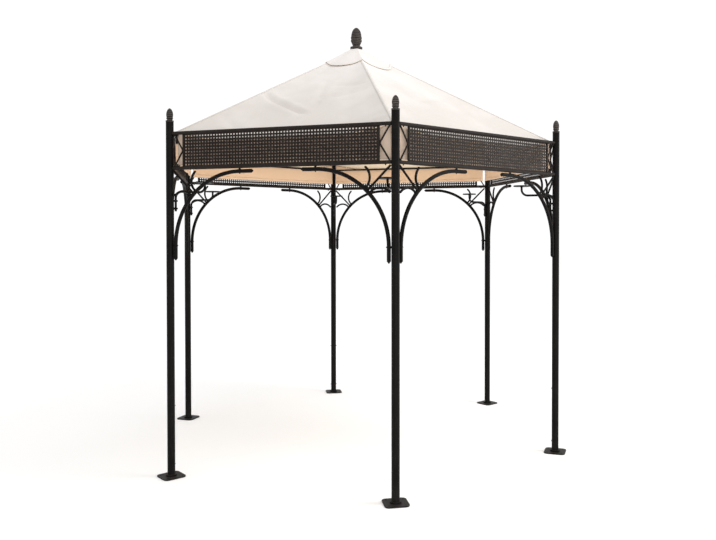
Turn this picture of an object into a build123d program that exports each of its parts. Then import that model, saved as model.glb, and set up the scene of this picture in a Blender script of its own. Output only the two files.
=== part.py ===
"""Six-post garden gazebo with a lattice frieze, scrolled corner braces and a tent canopy.

Millimetres, +Z up. The origin is on the ground, at the centre of the circle of posts.
The bay between the two front posts faces -Y.
"""
import os
from math import atan, cos, degrees, pi, sin, sqrt, tan

from build123d import *

# Plan: posts and bays counter-clockwise, the first post on +X and each bay after its post
post_names = ("right", "back_right", "back_left", "left", "front_left", "front_right")
bay_names = ("back_right", "back", "back_left", "front_left", "front", "front_right")
post_circle_radius = 1500.0
seat_clearance = 0.3
cut_overrun = 5.0

# Heights
bottom_rail_height = 1950.0
frieze_height = 220.0
post_rise = 73.0
roof_rise = 751.0
hip_rise = 735.0

# Posts and feet
post_diameter = 48.0
post_wall = 1.5
foot_width = 145.0
foot_thickness = 6.0
foot_corner_radius = 28.0
foot_collar_wall = 9.5
foot_collar_height = 9.0
spigot_height = 130.0
peg_hole_diameter = 9.0
peg_inset = 23.0

# Acorn on each post
acorn_height = 85.0
acorn_rim_lip = 0.8
acorn_rim_height = 8.0
acorn_neck_diameter = 33.0
acorn_ring_diameter = 41.5
acorn_bulb_diameter = 43.0
acorn_plug_length = 25.0
acorn_ring_shares = (0.08, 0.17, 0.26)
acorn_bulb_share = 0.44
egg_rise_share = 0.55
egg_width_share = 0.5

# Frieze between the posts
rail_diameter = 22.0
end_bar_offset = 102.5
end_bar_width = 12.0
v_rod_diameter = 10.5
lattice_rows = 10
lattice_columns = 64
lattice_strip_width = 11.0
lattice_strip_thickness = 2.5

# Arched brace under each rail end
brace_diameter = 24.0
brace_radius = 457.0
brace_post_gap = 4.5
brace_rail_gap = 5.5
brace_tail = 88.0
brace_end_chamfer = 6.0
spacer_diameter = 14.0
strut_diameter = 13.5
scroll_width = 14.0
scroll_sides = 8
scroll_root = 20.5
scroll_bulge = 17.5
scroll_end_gap = 6.0
scroll_flare = 8.0
scroll_bulge_share = 0.62

# Arm with a round tray on the inner side of each post
arm_width = 14.0
arm_sides = 8
arm_post_gap = 7.0
arm_drop = 144.0
arm_leg = 126.0
arm_reach = 240.0
arm_bend_radius = 42.0
arm_stub_inset = 18.0
tray_rise = 62.0
tray_diameter = 115.0
tray_rim_height = 9.0
tray_wall = 2.0

# Canopy, vent cap and valance
eave_inset = 33.0
eave_sag = 56.0
eave_slack = 280.0
cloth_thickness = 3.0
vent_radius = 150.0
cap_radius = 295.0
cap_lift = 7.0
valance_drop = 130.0
valance_slit = 40.0
valance_thickness = 2.0

# Roof frame under the canopy
rib_diameter = 20.0
eave_rod_diameter = 13.0
eave_lug_diameter = 22.0
eave_lug_drop = 9.0
hub_diameter = 100.0
hub_height = 46.0
hub_drop = 14.0

# Ridged acorn at the apex
apex_disc_diameter = 92.0
apex_disc_height = 19.0
apex_disc_lip = 2.0
apex_neck_diameter = 52.0
apex_neck_height = 8.0
apex_cup_height = 30.0
apex_diameter = 84.0
apex_height = 148.0
apex_ridge_count = 2
apex_ridge_pitch = 22.0
apex_groove_depth = 3.5
stem_diameter = 16.0
stem_length = 44.0

# Worked out from the sizes above
bay_count = len(bay_names)
sector = 360 / bay_count
half_sector = pi / bay_count
bay_apothem = post_circle_radius * cos(half_sector)
bay_span = 2 * post_circle_radius * sin(half_sector)
post_radius = post_diameter / 2
rail_radius = rail_diameter / 2
top_rail_height = bottom_rail_height + frieze_height
post_top = top_rail_height + post_rise
eave_radius = post_circle_radius - eave_inset
eave_apothem = eave_radius * cos(half_sector)
eave_half_span = eave_radius * sin(half_sector)
corner_height = top_rail_height + rail_radius
eave_height = corner_height - eave_sag
cap_top_height = corner_height + roof_rise
cap_top_radius = apex_disc_diameter / 2 - apex_disc_lip
hub_top = cap_top_height - hub_drop

# Straight hips run from the corners to under the vent cap, and the cloth sags to the eave rods between them
hip_slope = hip_rise / (eave_radius - cap_top_radius)
hip_apex = corner_height + eave_radius * hip_slope
mid_angle = atan((hip_apex - eave_height) / eave_apothem)
cap_low = hip_apex - cap_radius * hip_slope + cap_lift
cap_slope = (cap_top_height - cap_low) / (cap_radius - cap_top_radius)
cap_angle = atan(cap_slope / cos(half_sector))
cloth_depth = cloth_thickness / cos(mid_angle)
hip_line = Vector(1, 0, -hip_slope)
corner_edge = Vector(-eave_slack * sin(half_sector), eave_slack * cos(half_sector), -eave_sag)
corner_normal = hip_line.cross(corner_edge).normalized()
rib_drop = cloth_depth + (seat_clearance + rib_diameter / 2) / corner_normal.Z
eave_rod_apothem = eave_apothem - 2 * valance_thickness - eave_rod_diameter
eave_rod_drop = cloth_depth + (seat_clearance + eave_rod_diameter / 2) / cos(mid_angle)
eave_rod_height = eave_height + (eave_apothem - eave_rod_apothem) * tan(mid_angle) - eave_rod_drop


def at_post(index):
    """Place on a post axis at ground level, local +X outward."""
    return Rot(0, 0, index * sector) * Pos(post_circle_radius, 0, 0)


def facing_bay(index):
    """Turn that points local +X out through the middle of a bay."""
    return Rot(0, 0, (index + 1 / 2) * sector)


def at_bay(index):
    """Place at the middle of a bay at ground level, local X along the bay and -Y outward."""
    return facing_bay(index) * Rot(0, 0, 90) * Pos(0, -bay_apothem, 0)


def bar(path, section):
    """Bar of one section along a path."""
    return sweep(Plane(origin=path @ 0, z_dir=path % 0) * section, path=path)


def rod(path, diameter):
    """Round bar along a path."""
    return bar(path, Circle(diameter / 2))


def facet_rod(path, width, sides):
    """Rod of few sides along a path, measured across its flats."""
    return bar(path, RegularPolygon(width / 2, sides, major_radius=False))


def upright(diameter, bottom, top):
    """Vertical round bar on the local Z axis."""
    return Pos(0, 0, bottom) * extrude(Circle(diameter / 2), top - bottom)


def turned(outline):
    """Solid turned about the Z axis from a half outline drawn as (radius, height)."""
    return revolve(Plane.XZ * make_face(outline), axis=Axis.Z)


def egg_top(radius, low, tip):
    """Curve from the widest point of a turned bulb up to its round tip."""
    rise = tip - low
    return Bezier((radius, low), (radius, low + egg_rise_share * rise),
                  (egg_width_share * radius, tip), (0, tip))


def make_foot():
    """Square plate with round corners, peg holes, a collar round the post and a spigot inside it."""
    plate = extrude(RectangleRounded(foot_width, foot_width, foot_corner_radius), foot_thickness)
    peg_spacing = foot_width - 2 * peg_inset
    for place in GridLocations(peg_spacing, peg_spacing, 2, 2):
        plate -= place * upright(peg_hole_diameter, -cut_overrun, foot_thickness + cut_overrun)
    socket = post_diameter + 2 * seat_clearance
    collar_top = foot_thickness + foot_collar_height
    collar = upright(socket + 2 * foot_collar_wall, foot_thickness, collar_top)
    collar -= upright(socket, foot_thickness, collar_top + cut_overrun)
    spigot_diameter = post_diameter - 2 * (post_wall + seat_clearance)
    return plate + collar + upright(spigot_diameter, foot_thickness, foot_thickness + spigot_height)


def make_post():
    """Round steel tube from the foot plate to the acorn."""
    bore = upright(post_diameter - 2 * post_wall, foot_thickness - cut_overrun, post_top + cut_overrun)
    return upright(post_diameter, foot_thickness, post_top) - bore


def make_acorn():
    """Turned acorn on a rim, with a plug that enters the post."""
    plug = post_radius - post_wall - seat_clearance
    rim, neck = post_radius + acorn_rim_lip, acorn_neck_diameter / 2
    ring, bulb = acorn_ring_diameter / 2, acorn_bulb_diameter / 2
    waist = (neck + ring) / 2
    low, top = post_top - acorn_plug_length, post_top + acorn_height
    body_low = post_top + acorn_rim_height
    ring_low, ring_mid, ring_high = (body_low + share * (top - body_low) for share in acorn_ring_shares)
    widest = body_low + acorn_bulb_share * (top - body_low)
    lower = Polyline((0, low), (plug, low), (plug, post_top), (rim, post_top), (rim, body_low),
                     (neck, body_low), (neck, ring_low))
    ring_arc = ThreePointArc((neck, ring_low), (ring, ring_mid), (waist, ring_high))
    swell = TangentArc((bulb, widest), (waist, ring_high), tangent=(0, -1))
    return turned(lower + ring_arc + swell + egg_top(bulb, widest, top) + Line((0, top), (0, low)))


def make_frieze_frame():
    """Two rails, end bars, V-rods and the level lattice strips of one bay, welded together."""
    half = bay_span / 2
    low, high = bottom_rail_height, top_rail_height
    middle = (low + high) / 2
    bar_centre = half - end_bar_offset
    frame = Part() + [rod(Line((-half, 0, height), (half, 0, height)), rail_diameter)
                      for height in (low, high)]
    for side in (-1, 1):
        frame += Pos(side * bar_centre, 0, middle) * Box(end_bar_width, end_bar_width, high - low)
        root = side * (half - post_radius - v_rod_diameter / 2)
        apex = side * (bar_centre + end_bar_width / 2)
        frame += [rod(Line((root, 0, height), (apex, 0, middle)), v_rod_diameter) for height in (low, high)]
    row_pitch = (high - low - rail_diameter) / lattice_rows
    strip = Box(2 * bar_centre, lattice_strip_thickness, lattice_strip_width)
    frame += [Pos(0, -lattice_strip_thickness / 2, low + rail_radius + row * row_pitch) * strip
              for row in range(1, lattice_rows)]
    for side in (-1, 1):
        frame -= Pos(side * half, 0, 0) * upright(post_diameter + 2 * seat_clearance, 0, post_top)
    return frame


def make_lattice():
    """Upright lattice strips of one bay, joined by a narrow strip along each rail."""
    width = bay_span - 2 * end_bar_offset - end_bar_width
    height = frieze_height - rail_diameter
    pitch = width / lattice_columns
    slot = Rectangle(pitch - lattice_strip_width, height - lattice_strip_width)
    sheet = Rectangle(width, height) - GridLocations(pitch, height, lattice_columns, 1) * slot
    middle = (top_rail_height + bottom_rail_height) / 2
    upright_plane = Plane(origin=(0, 0, middle), x_dir=(1, 0, 0), z_dir=(0, 1, 0))
    return extrude(upright_plane * sheet, lattice_strip_thickness)


def make_brace():
    """Arched tube with straight tails, a strut to the corner and two scrolls.

    Built at the -X end of a bay, in the bay's own frame.
    """
    post_face = -bay_span / 2 + post_radius
    line_x = post_face + brace_post_gap + brace_diameter / 2
    line_z = bottom_rail_height - rail_radius - brace_rail_gap - brace_diameter / 2
    centre_x, centre_z = line_x + brace_radius, line_z - brace_radius
    path = FilletPolyline((line_x, 0, centre_z - brace_tail), (line_x, 0, line_z),
                          (centre_x + brace_tail, 0, line_z), radius=brace_radius)
    tube = rod(path, brace_diameter)
    tube = chamfer(tube.faces().filter_by(GeomType.PLANE).edges(), brace_end_chamfer)
    post_seat = post_face + seat_clearance
    rail_seat = bottom_rail_height - rail_radius - seat_clearance
    post_spacer = Line((post_seat, 0, centre_z), (line_x, 0, centre_z))
    rail_spacer = Line((centre_x, 0, rail_seat), (centre_x, 0, line_z))
    diagonal = 1 / sqrt(2)
    root = Vector(centre_x - brace_radius * diagonal, 0, centre_z + brace_radius * diagonal)
    room = min(root.X - post_seat, rail_seat - root.Z)
    strut_rise = room - strut_diameter / 2 * diagonal
    strut = Line(root, root + Vector(-strut_rise, 0, strut_rise))
    brace = tube + [rod(spacer, spacer_diameter) for spacer in (post_spacer, rail_spacer)]
    brace += rod(strut, strut_diameter)
    rise = room - scroll_width / 2 - scroll_end_gap
    steps = ((scroll_root * diagonal, scroll_root * diagonal), (-scroll_bulge, scroll_bulge_share * rise),
             (scroll_flare, rise))
    upper = ThreePointArc(*(root + Vector(along, 0, up) for along, up in steps))
    lower = ThreePointArc(*(root + Vector(-up, 0, -along) for along, up in steps))
    return brace + [facet_rod(arc, scroll_width, scroll_sides) for arc in (upper, lower)]


def make_tray_arm():
    """Bent rod on two stubs at the inner side of a post, carrying a round tray."""
    level = bottom_rail_height - arm_drop
    tray_height = level + tray_rise
    leg_x = -(post_radius + arm_post_gap + arm_width / 2)
    path = FilletPolyline((leg_x, 0, level - arm_leg), (leg_x, 0, level), (-arm_reach, 0, level),
                          (-arm_reach, 0, tray_height + tray_wall / 2), radius=arm_bend_radius)
    arm = facet_rod(path, arm_width, arm_sides)
    for height in (level - arm_leg + arm_stub_inset, level - arm_bend_radius - arm_stub_inset):
        arm += rod(Line((-post_radius - seat_clearance, 0, height), (leg_x, 0, height)), arm_width)
    dish = upright(tray_diameter, tray_height, tray_height + tray_rim_height)
    dish -= upright(tray_diameter - 2 * tray_wall, tray_height + tray_wall,
                    tray_height + tray_rim_height + cut_overrun)
    return arm + Pos(-arm_reach, 0, 0) * dish


def hip_height(radius):
    """Height of the canopy's hip at a distance from the axis."""
    return hip_apex - radius * hip_slope


def eave_line():
    """Points along the eave of one bay, from corner to corner, as (along the bay, height)."""
    knee = eave_half_span - eave_slack
    return [(-eave_half_span, corner_height), (-knee, eave_height), (knee, eave_height),
            (eave_half_span, corner_height)]


def make_gore():
    """Canopy cloth over one bay: a flat middle and a side drawn up to each corner."""
    apex = Vector(0, 0, hip_apex)
    low = [Vector(eave_apothem, along, height) for along, height in eave_line()]
    high = [apex + (point - apex) * (vent_radius / eave_radius) for point in low]
    strips = [make_face(Polyline(low[step], low[step + 1], high[step + 1], high[step], close=True))
              for step in range(len(low) - 1)]
    return Part() + [extrude(strip, cloth_depth, dir=(0, 0, -1)) for strip in strips]


def make_canopy():
    """Main canopy from the eave up to the vent opening."""
    gore = make_gore()
    return Part() + [facing_bay(index) * gore for index in range(bay_count)]


def make_vent_cap():
    """Small hexagonal tent over the vent opening, held under the apex finial."""
    inset = cloth_thickness / sin(cap_angle) / cos(half_sector)
    lean = 90 - degrees(cap_angle)
    rise = cap_top_height - cap_low
    outer, inner = (extrude(Pos(0, 0, cap_low) * RegularPolygon(radius, bay_count), rise, taper=lean)
                    for radius in (cap_radius, cap_radius - inset))
    return outer - inner


def make_valance():
    """One flap hanging from the eave on each side, open at the corners."""
    hang = cloth_depth + seat_clearance
    top = [(along, height - hang) for along, height in eave_line()]
    low = eave_height - valance_drop
    outline = make_face(Polyline(*top, (eave_half_span, low), (-eave_half_span, low), close=True))
    opened = Pos(0, low) * Rectangle(2 * eave_half_span - valance_slit, 2 * (corner_height - low))
    flap = extrude(Plane.YZ.offset(eave_apothem) * (outline & opened), -valance_thickness)
    return [facing_bay(index) * flap for index in range(bay_count)]


def make_ribs():
    """One straight tube from the hub to each post under a hip, with a lug for the eave rods."""
    line = Line((0, 0, hip_height(0) - rib_drop),
                (post_circle_radius, 0, hip_height(post_circle_radius) - rib_drop))
    rib = rod(line, rib_diameter)
    rib -= upright(hub_diameter + 2 * seat_clearance, eave_height, hip_apex)
    rib -= Pos(post_circle_radius, 0, 0) * upright(post_diameter + 2 * seat_clearance, 0, post_top)
    rib = rib.solids().sort_by(SortBy.VOLUME)[-1]
    lug_radius = eave_rod_apothem / cos(half_sector)
    lug_low = eave_rod_height - eave_rod_diameter / 2 - eave_lug_drop
    lug = upright(eave_lug_diameter, lug_low, hip_height(lug_radius) - rib_drop)
    rib += Pos(lug_radius, 0, 0) * lug
    return [Rot(0, 0, index * sector) * rib for index in range(bay_count)]


def make_eave_rods():
    """One thin rod between each pair of rib lugs, in the fold between canopy and valance."""
    reach = eave_rod_apothem * tan(half_sector)
    piece = rod(Line((0, -reach, eave_rod_height), (0, reach, eave_rod_height)), eave_rod_diameter)
    for side in (-1, 1):
        piece -= Pos(0, side * reach, 0) * upright(eave_lug_diameter + 2 * seat_clearance, 0, corner_height)
    return [facing_bay(index) * Pos(eave_rod_apothem, 0, 0) * piece for index in range(bay_count)]


def make_hub():
    """Turned hub where the ribs meet, bored for the stem of the apex finial."""
    low = hub_top - hub_height
    bore = upright(stem_diameter + 2 * seat_clearance, low - cut_overrun, hub_top + cut_overrun)
    return upright(hub_diameter, low, hub_top) - bore


def make_apex_finial():
    """Ridged acorn in a cup on a flat disc, with a stem down into the hub."""
    disc, neck, stem = apex_disc_diameter / 2, apex_neck_diameter / 2, stem_diameter / 2
    ridge, groove = apex_diameter / 2, apex_diameter / 2 - apex_groove_depth
    stem_low, disc_top = cap_top_height - stem_length, cap_top_height + apex_disc_height
    cup_low = disc_top + apex_neck_height
    cup_top, tip = cup_low + apex_cup_height, disc_top + apex_height
    outline = Polyline((0, stem_low), (stem, stem_low), (stem, cap_top_height), (disc, cap_top_height),
                       (disc, disc_top), (neck, disc_top), (neck, cup_low))
    outline += Line((neck, cup_low), (groove, cup_top))
    for step in range(apex_ridge_count):
        low = cup_top + step * apex_ridge_pitch
        high = low + apex_ridge_pitch
        outline += ThreePointArc((groove, low), (ridge, (low + high) / 2), (groove, high))
    dome_low = cup_top + apex_ridge_count * apex_ridge_pitch
    return turned(outline + egg_top(groove, dome_low, tip) + Line((0, tip), (0, stem_low)))


def save(name, pieces):
    """Write one node, which holds one solid or several that stand apart."""
    export_step(Compound(children=pieces) if isinstance(pieces, list) else pieces, f"parts/{name}.step")


os.makedirs("parts", exist_ok=True)

foot, post, acorn, tray_arm = make_foot(), make_post(), make_acorn(), make_tray_arm()
for index, name in enumerate(post_names):
    save(f"foot_{name}", at_post(index) * foot)
    save(f"post_{name}", at_post(index) * post)
    save(f"tray_arm_{name}", at_post(index) * tray_arm)
save("post_finials", [at_post(index) * acorn for index in range(bay_count)])

frieze_frame, lattice, brace = make_frieze_frame(), make_lattice(), make_brace()
for index, name in enumerate(bay_names):
    save(f"frieze_frame_{name}", at_bay(index) * frieze_frame)
    save(f"lattice_{name}", at_bay(index) * lattice)
    save(f"braces_{name}", [at_bay(index) * brace, at_bay(index) * brace.mirror(Plane.YZ)])

save("canopy", make_canopy())
save("vent_cap", make_vent_cap())
save("valance", make_valance())
save("roof_ribs", make_ribs())
save("eave_rods", make_eave_rods())
save("roof_hub", make_hub())
save("apex_finial", make_apex_finial())
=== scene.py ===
"""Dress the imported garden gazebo: painted frame, lattice frieze, cloth roof, seams and bolts.

A pale studio and the photo's camera stand round it. All lengths are in metres.
"""
from __future__ import annotations

import logging
import math
from dataclasses import dataclass, field
from enum import Enum
from typing import Callable, Iterable, Sequence

import bpy
import numpy as np
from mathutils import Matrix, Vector

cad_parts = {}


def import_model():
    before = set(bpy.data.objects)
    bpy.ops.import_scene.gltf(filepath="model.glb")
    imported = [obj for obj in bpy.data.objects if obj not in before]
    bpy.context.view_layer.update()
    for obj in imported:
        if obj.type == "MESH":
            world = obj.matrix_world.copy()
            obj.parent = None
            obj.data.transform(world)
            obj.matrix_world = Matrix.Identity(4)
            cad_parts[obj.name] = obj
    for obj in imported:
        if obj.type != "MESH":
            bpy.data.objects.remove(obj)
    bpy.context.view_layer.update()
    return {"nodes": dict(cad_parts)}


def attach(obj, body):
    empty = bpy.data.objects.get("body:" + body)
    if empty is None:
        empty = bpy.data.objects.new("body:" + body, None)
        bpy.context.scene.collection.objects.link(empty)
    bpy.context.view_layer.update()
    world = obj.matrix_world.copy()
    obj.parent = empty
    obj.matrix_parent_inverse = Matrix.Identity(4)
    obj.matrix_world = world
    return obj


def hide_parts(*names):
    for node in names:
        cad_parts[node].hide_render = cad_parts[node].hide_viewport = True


LOG = logging.getLogger("gazebo")
BODY = "root"
BAYS = 6
SECTOR = math.tau / BAYS
BAY_NAMES = ("back_right", "back", "back_left", "front_left", "front", "front_right")
POST_CIRCLE = 1.5
POST_RADIUS = 0.024
BAY_APOTHEM = POST_CIRCLE * math.cos(SECTOR / 2)
BAY_HALF = POST_CIRCLE * math.sin(SECTOR / 2)
RAIL_RADIUS = 0.011
LOW_RAIL = 1.95
TOP_RAIL = 2.17
UP = np.array([0.0, 0.0, 1.0])
# Period of Blender's wave texture at scale 1
WAVE_PERIOD = math.tau / 20.0
# Sockets of Blender's mix node when it mixes colours
MIX_SHARE, MIX_FIRST, MIX_SECOND, MIX_RESULT = 0, 6, 7, 2

Array = np.ndarray
Material = bpy.types.Material
Piece = bpy.types.Object
Point = tuple[float, float, float]
Socket = bpy.types.NodeSocket


class Slot(Enum):
    """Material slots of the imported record."""

    FRAME = "frame_paint"
    LATTICE = "lattice_paint"
    CLOTH = "canopy_cloth"


def smooth(value: float | Array) -> float | Array:
    """Ease a share from 0 to 1."""
    share = np.clip(value, 0.0, 1.0)
    return share * share * (3.0 - 2.0 * share)


def turned(points: Array, angle: float) -> Array:
    """Turn points about the vertical axis.

    Args:
        points: Places, one row each.
        angle: Turn in radians.

    Returns:
        The turned places.
    """
    cos, sin = math.cos(angle), math.sin(angle)
    x, y = points[..., 0], points[..., 1]
    return np.stack([cos * x - sin * y, sin * x + cos * y, points[..., 2]], axis=-1)


def in_bay(bay: int, point: Sequence[float], shift: float = BAY_APOTHEM) -> Array:
    """Carry a place, or at shift 0 a direction, from a bay's frame, where -Y is outward."""
    moved = np.array(point, float) - np.array([0.0, shift, 0.0])
    return turned(moved, (bay + 0.5) * SECTOR + math.pi / 2)


def at_post(post: int, point: Sequence[float], shift: float = POST_CIRCLE) -> Array:
    """Carry a place, or at shift 0 a direction, from a post's frame, where +X is outward."""
    return turned(np.array(point, float) + np.array([shift, 0.0, 0.0]), post * SECTOR)


def around(make: Callable[[int], Array]) -> Array:
    """Lay the grids that are made for each bay side by side."""
    return np.concatenate([make(bay) for bay in range(BAYS)], axis=1)


class NodeKit:
    """Short notation for building a node tree."""

    def __init__(self, tree: bpy.types.NodeTree) -> None:
        """Keep the tree that is built."""
        self.tree = tree

    def node(self, kind: str, settings: dict[str, object] | None = None,
             **inputs: object) -> bpy.types.Node:
        """Add one node.

        Args:
            kind: Blender's node type.
            settings: Properties of the node itself.
            inputs: Input values or linked output sockets, by name with _ for a space.

        Returns:
            The new node.
        """
        made = self.tree.nodes.new(kind)
        for name, value in (settings or {}).items():
            setattr(made, name, value)
        for name, value in inputs.items():
            self.feed(made.inputs[name.replace("_", " ")], value)
        return made

    def first(self, kind: str, settings: dict[str, object] | None = None,
              **inputs: object) -> Socket:
        """Add one node and give its first output."""
        return self.node(kind, settings, **inputs).outputs[0]

    def feed(self, socket: Socket, value: object) -> None:
        """Set an input, or link it where the value is an output socket.

        Args:
            socket: The input.
            value: Number, colour, vector or output socket.
        """
        if isinstance(value, Socket):
            self.tree.links.new(value, socket)
        else:
            socket.default_value = value

    def vector(self, **parts: object) -> Socket:
        """Join X, Y and Z to a vector."""
        return self.first("ShaderNodeCombineXYZ", **parts)

    def part(self, vector: Socket, axis: str) -> Socket:
        """Take one coordinate of a vector."""
        return self.node("ShaderNodeSeparateXYZ", Vector=vector).outputs[axis]

    def math(self, operation: str, first: object, second: object = 0.0,
             clamp: bool = False) -> Socket:
        """Join two numbers.

        Args:
            operation: Name of the operation.
            first: Number or socket.
            second: Number or socket.
            clamp: Keep the result from 0 to 1.

        Returns:
            The result's socket.
        """
        made = self.node("ShaderNodeMath", {"operation": operation, "use_clamp": clamp})
        self.feed(made.inputs[0], first)
        self.feed(made.inputs[1], second)
        return made.outputs[0]

    def times(self, first: object, second: object, clamp: bool = False) -> Socket:
        """Multiply two numbers."""
        return self.math("MULTIPLY", first, second, clamp)


class Paint(NodeKit):
    """Shader tree of one material."""

    def __init__(self, name: str) -> None:
        """Make a material with an empty tree.

        Args:
            name: Name of the material.
        """
        self.material = bpy.data.materials.new(name)
        self.material.use_nodes = True
        super().__init__(self.material.node_tree)
        self.tree.nodes.clear()

    def mix(self, share: object, first: Point | Socket, second: Point | Socket) -> Socket:
        """Mix two colours by a share.

        Args:
            share: Number or socket from 0 to 1.
            first: Colour at 0.
            second: Colour at 1.

        Returns:
            The mixed colour's socket.
        """
        made = self.node("ShaderNodeMix", {"data_type": "RGBA"})
        for index, value in ((MIX_SHARE, share), (MIX_FIRST, first), (MIX_SECOND, second)):
            self.feed(made.inputs[index], (*value, 1.0) if isinstance(value, tuple) else value)
        return made.outputs[MIX_RESULT]

    def noise(self, place: Socket, scale: float, detail: float = 3.0, rough: float = 0.5) -> Socket:
        """Add a noise texture of about so many waves per metre."""
        return self.first("ShaderNodeTexNoise", Vector=place, Scale=scale, Detail=detail,
                          Roughness=rough)

    def wave(self, axis: str, place: Socket, pitch: float, **inputs: object) -> Socket:
        """Add bands across an axis, a pitch apart."""
        return self.node("ShaderNodeTexWave", {"bands_direction": axis}, Vector=place,
                         Scale=WAVE_PERIOD / pitch, **inputs).outputs["Fac"]

    def range(self, value: object, low: float, high: float, out_low: float = 0.0,
              out_high: float = 1.0) -> Socket:
        """Map a number from one range to another, clamped.

        Args:
            value: Number or socket.
            low: Start of the input range.
            high: End of the input range.
            out_low: Result at the start.
            out_high: Result at the end.

        Returns:
            The mapped number's socket.
        """
        made = self.node("ShaderNodeMapRange")
        for index, number in enumerate((value, low, high, out_low, out_high)):
            self.feed(made.inputs[index], number)
        return made.outputs[0]

    def relief(self, height: Socket, strength: float, depth: float) -> Socket:
        """Turn a height from 0 to 1 into a bumped normal."""
        return self.first("ShaderNodeBump", Strength=strength, Distance=depth, Height=height)

    def finish(self, **inputs: object) -> Material:
        """Add the surface shader and send it to the output.

        Args:
            inputs: Inputs of the shader, by name with _ for a space.

        Returns:
            The finished material.
        """
        shader = self.first("ShaderNodeBsdfPrincipled", **inputs)
        self.node("ShaderNodeOutputMaterial", Surface=shader)
        return self.material


class Repeater(NodeKit):
    """Geometry node tree that repeats a small shape, with named inputs for its sizes."""

    def __init__(self, name: str, sizes: dict[str, float]) -> None:
        """Make the tree and its inputs.

        Args:
            name: Name of the tree.
            sizes: Named inputs and the values that they get.
        """
        super().__init__(bpy.data.node_groups.new(name, "GeometryNodeTree"))
        self.sizes = sizes
        face = self.tree.interface
        face.new_socket("Geometry", in_out="INPUT", socket_type="NodeSocketGeometry")
        for label in sizes:
            face.new_socket(label, in_out="INPUT", socket_type="NodeSocketFloat")
        face.new_socket("Finish", in_out="INPUT", socket_type="NodeSocketMaterial")
        face.new_socket("Geometry", in_out="OUTPUT", socket_type="NodeSocketGeometry")
        self.given = self.tree.nodes.new("NodeGroupInput").outputs

    def attribute(self, name: str, kind: str) -> Socket:
        """Read a named attribute of the points."""
        return self.first("GeometryNodeInputNamedAttribute", {"data_type": kind}, Name=name)

    def facing(self, vector: Socket, axis: str = "Z", pivot: str = "AUTO",
               **start: Socket) -> Socket:
        """Turn an axis of each copy to a direction, after a Rotation where one is given."""
        return self.first("FunctionNodeAlignRotationToVector", {"axis": axis, "pivot_axis": pivot},
                          Vector=vector, **start)

    def raised(self, shape: Socket, height: object) -> Socket:
        """Move a shape up its own axis."""
        return self.first("GeometryNodeTransform", Geometry=shape,
                          Translation=self.vector(Z=height))

    def box(self, *names: str) -> Socket:
        """Join three named sizes to a vector."""
        return self.vector(**{axis: self.given[name] for axis, name in zip("XYZ", names)})

    def rounded(self, shape: Socket) -> Socket:
        """Shade a shape smooth."""
        return self.first("GeometryNodeSetShadeSmooth", Geometry=shape)

    def together(self, *shapes: Socket) -> Socket:
        """Join shapes into one geometry.

        Args:
            shapes: Geometries.

        Returns:
            The joined geometry's socket.
        """
        made = self.node("GeometryNodeJoinGeometry")
        for shape in shapes:
            self.tree.links.new(shape, made.inputs[0])
        return made.outputs[0]

    def finish(self, shape: Socket) -> Repeater:
        """Make the copies real, give them their finish and end the tree.

        Args:
            shape: Geometry with instances.

        Returns:
            The finished tree.
        """
        real = self.first("GeometryNodeRealizeInstances", Geometry=shape)
        dressed = self.first("GeometryNodeSetMaterial", Geometry=real,
                             Material=self.given["Finish"])
        self.node("NodeGroupOutput", Geometry=dressed)
        return self

    def copied(self, shape: Socket) -> Repeater:
        """Put a copy of an upright shape on every point, turned and scaled by its attributes.

        Args:
            shape: The shape, at the origin.

        Returns:
            The finished tree.
        """
        turn = self.facing(self.attribute("axis", "FLOAT_VECTOR"))
        return self.finish(self.first("GeometryNodeInstanceOnPoints", Points=self.given["Geometry"],
                                      Instance=shape, Rotation=turn,
                                      Scale=self.attribute("size", "FLOAT")))

    def run(self, start: Piece, finish: Material) -> Piece:
        """Run the tree on an object and keep the result as plain mesh.

        Args:
            start: Object that holds the points or paths.
            finish: Material of the copies.

        Returns:
            The same object, with the new mesh.
        """
        step = start.modifiers.new(self.tree.name, "NODES")
        step.node_group = self.tree
        values = {**self.sizes, "Finish": finish}
        for item in self.tree.interface.items_tree:
            if item.in_out == "INPUT" and item.name in values:
                step[item.identifier] = values[item.name]
        return freeze(start)


def add_mesh(name: str, points: Iterable[Sequence[float]], faces: Iterable[Sequence[int]] = (),
             materials: Iterable[Material] = (), edges: Iterable[Sequence[int]] = ()) -> Piece:
    """Make a mesh object at the origin.

    Args:
        name: Object name.
        points: Vertex places.
        faces: Vertex numbers of each face.
        materials: Materials of the slots, in order.
        edges: Vertex numbers of loose edges.

    Returns:
        The linked object.
    """
    mesh = bpy.data.meshes.new(name)
    mesh.from_pydata(*([tuple(row) for row in rows] for rows in (points, edges, faces)))
    for material in materials:
        mesh.materials.append(material)
    mesh.update()
    made = bpy.data.objects.new(name, mesh)
    bpy.context.scene.collection.objects.link(made)
    return made


def mark(piece: Piece, name: str, values: Array) -> None:
    """Store an attribute on a mesh's points.

    Args:
        piece: Mesh object.
        name: Attribute name.
        values: One number or one vector for each point.
    """
    kind, label = ("FLOAT_VECTOR", "vector") if values.ndim == 2 else ("FLOAT", "value")
    made = piece.data.attributes.new(name, kind, "POINT")
    made.data.foreach_set(label, values.astype(np.float32).ravel())


def freeze(made: Piece) -> Piece:
    """Turn an object's modifiers into plain mesh.

    Args:
        made: Object with modifiers.

    Returns:
        The same object, with none.
    """
    graph = bpy.context.evaluated_depsgraph_get()
    mesh = bpy.data.meshes.new_from_object(made.evaluated_get(graph), preserve_all_data_layers=True,
                                           depsgraph=graph)
    old = made.data
    made.modifiers.clear()
    made.data = mesh
    bpy.data.meshes.remove(old)
    mesh.name = made.name
    return made


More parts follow.
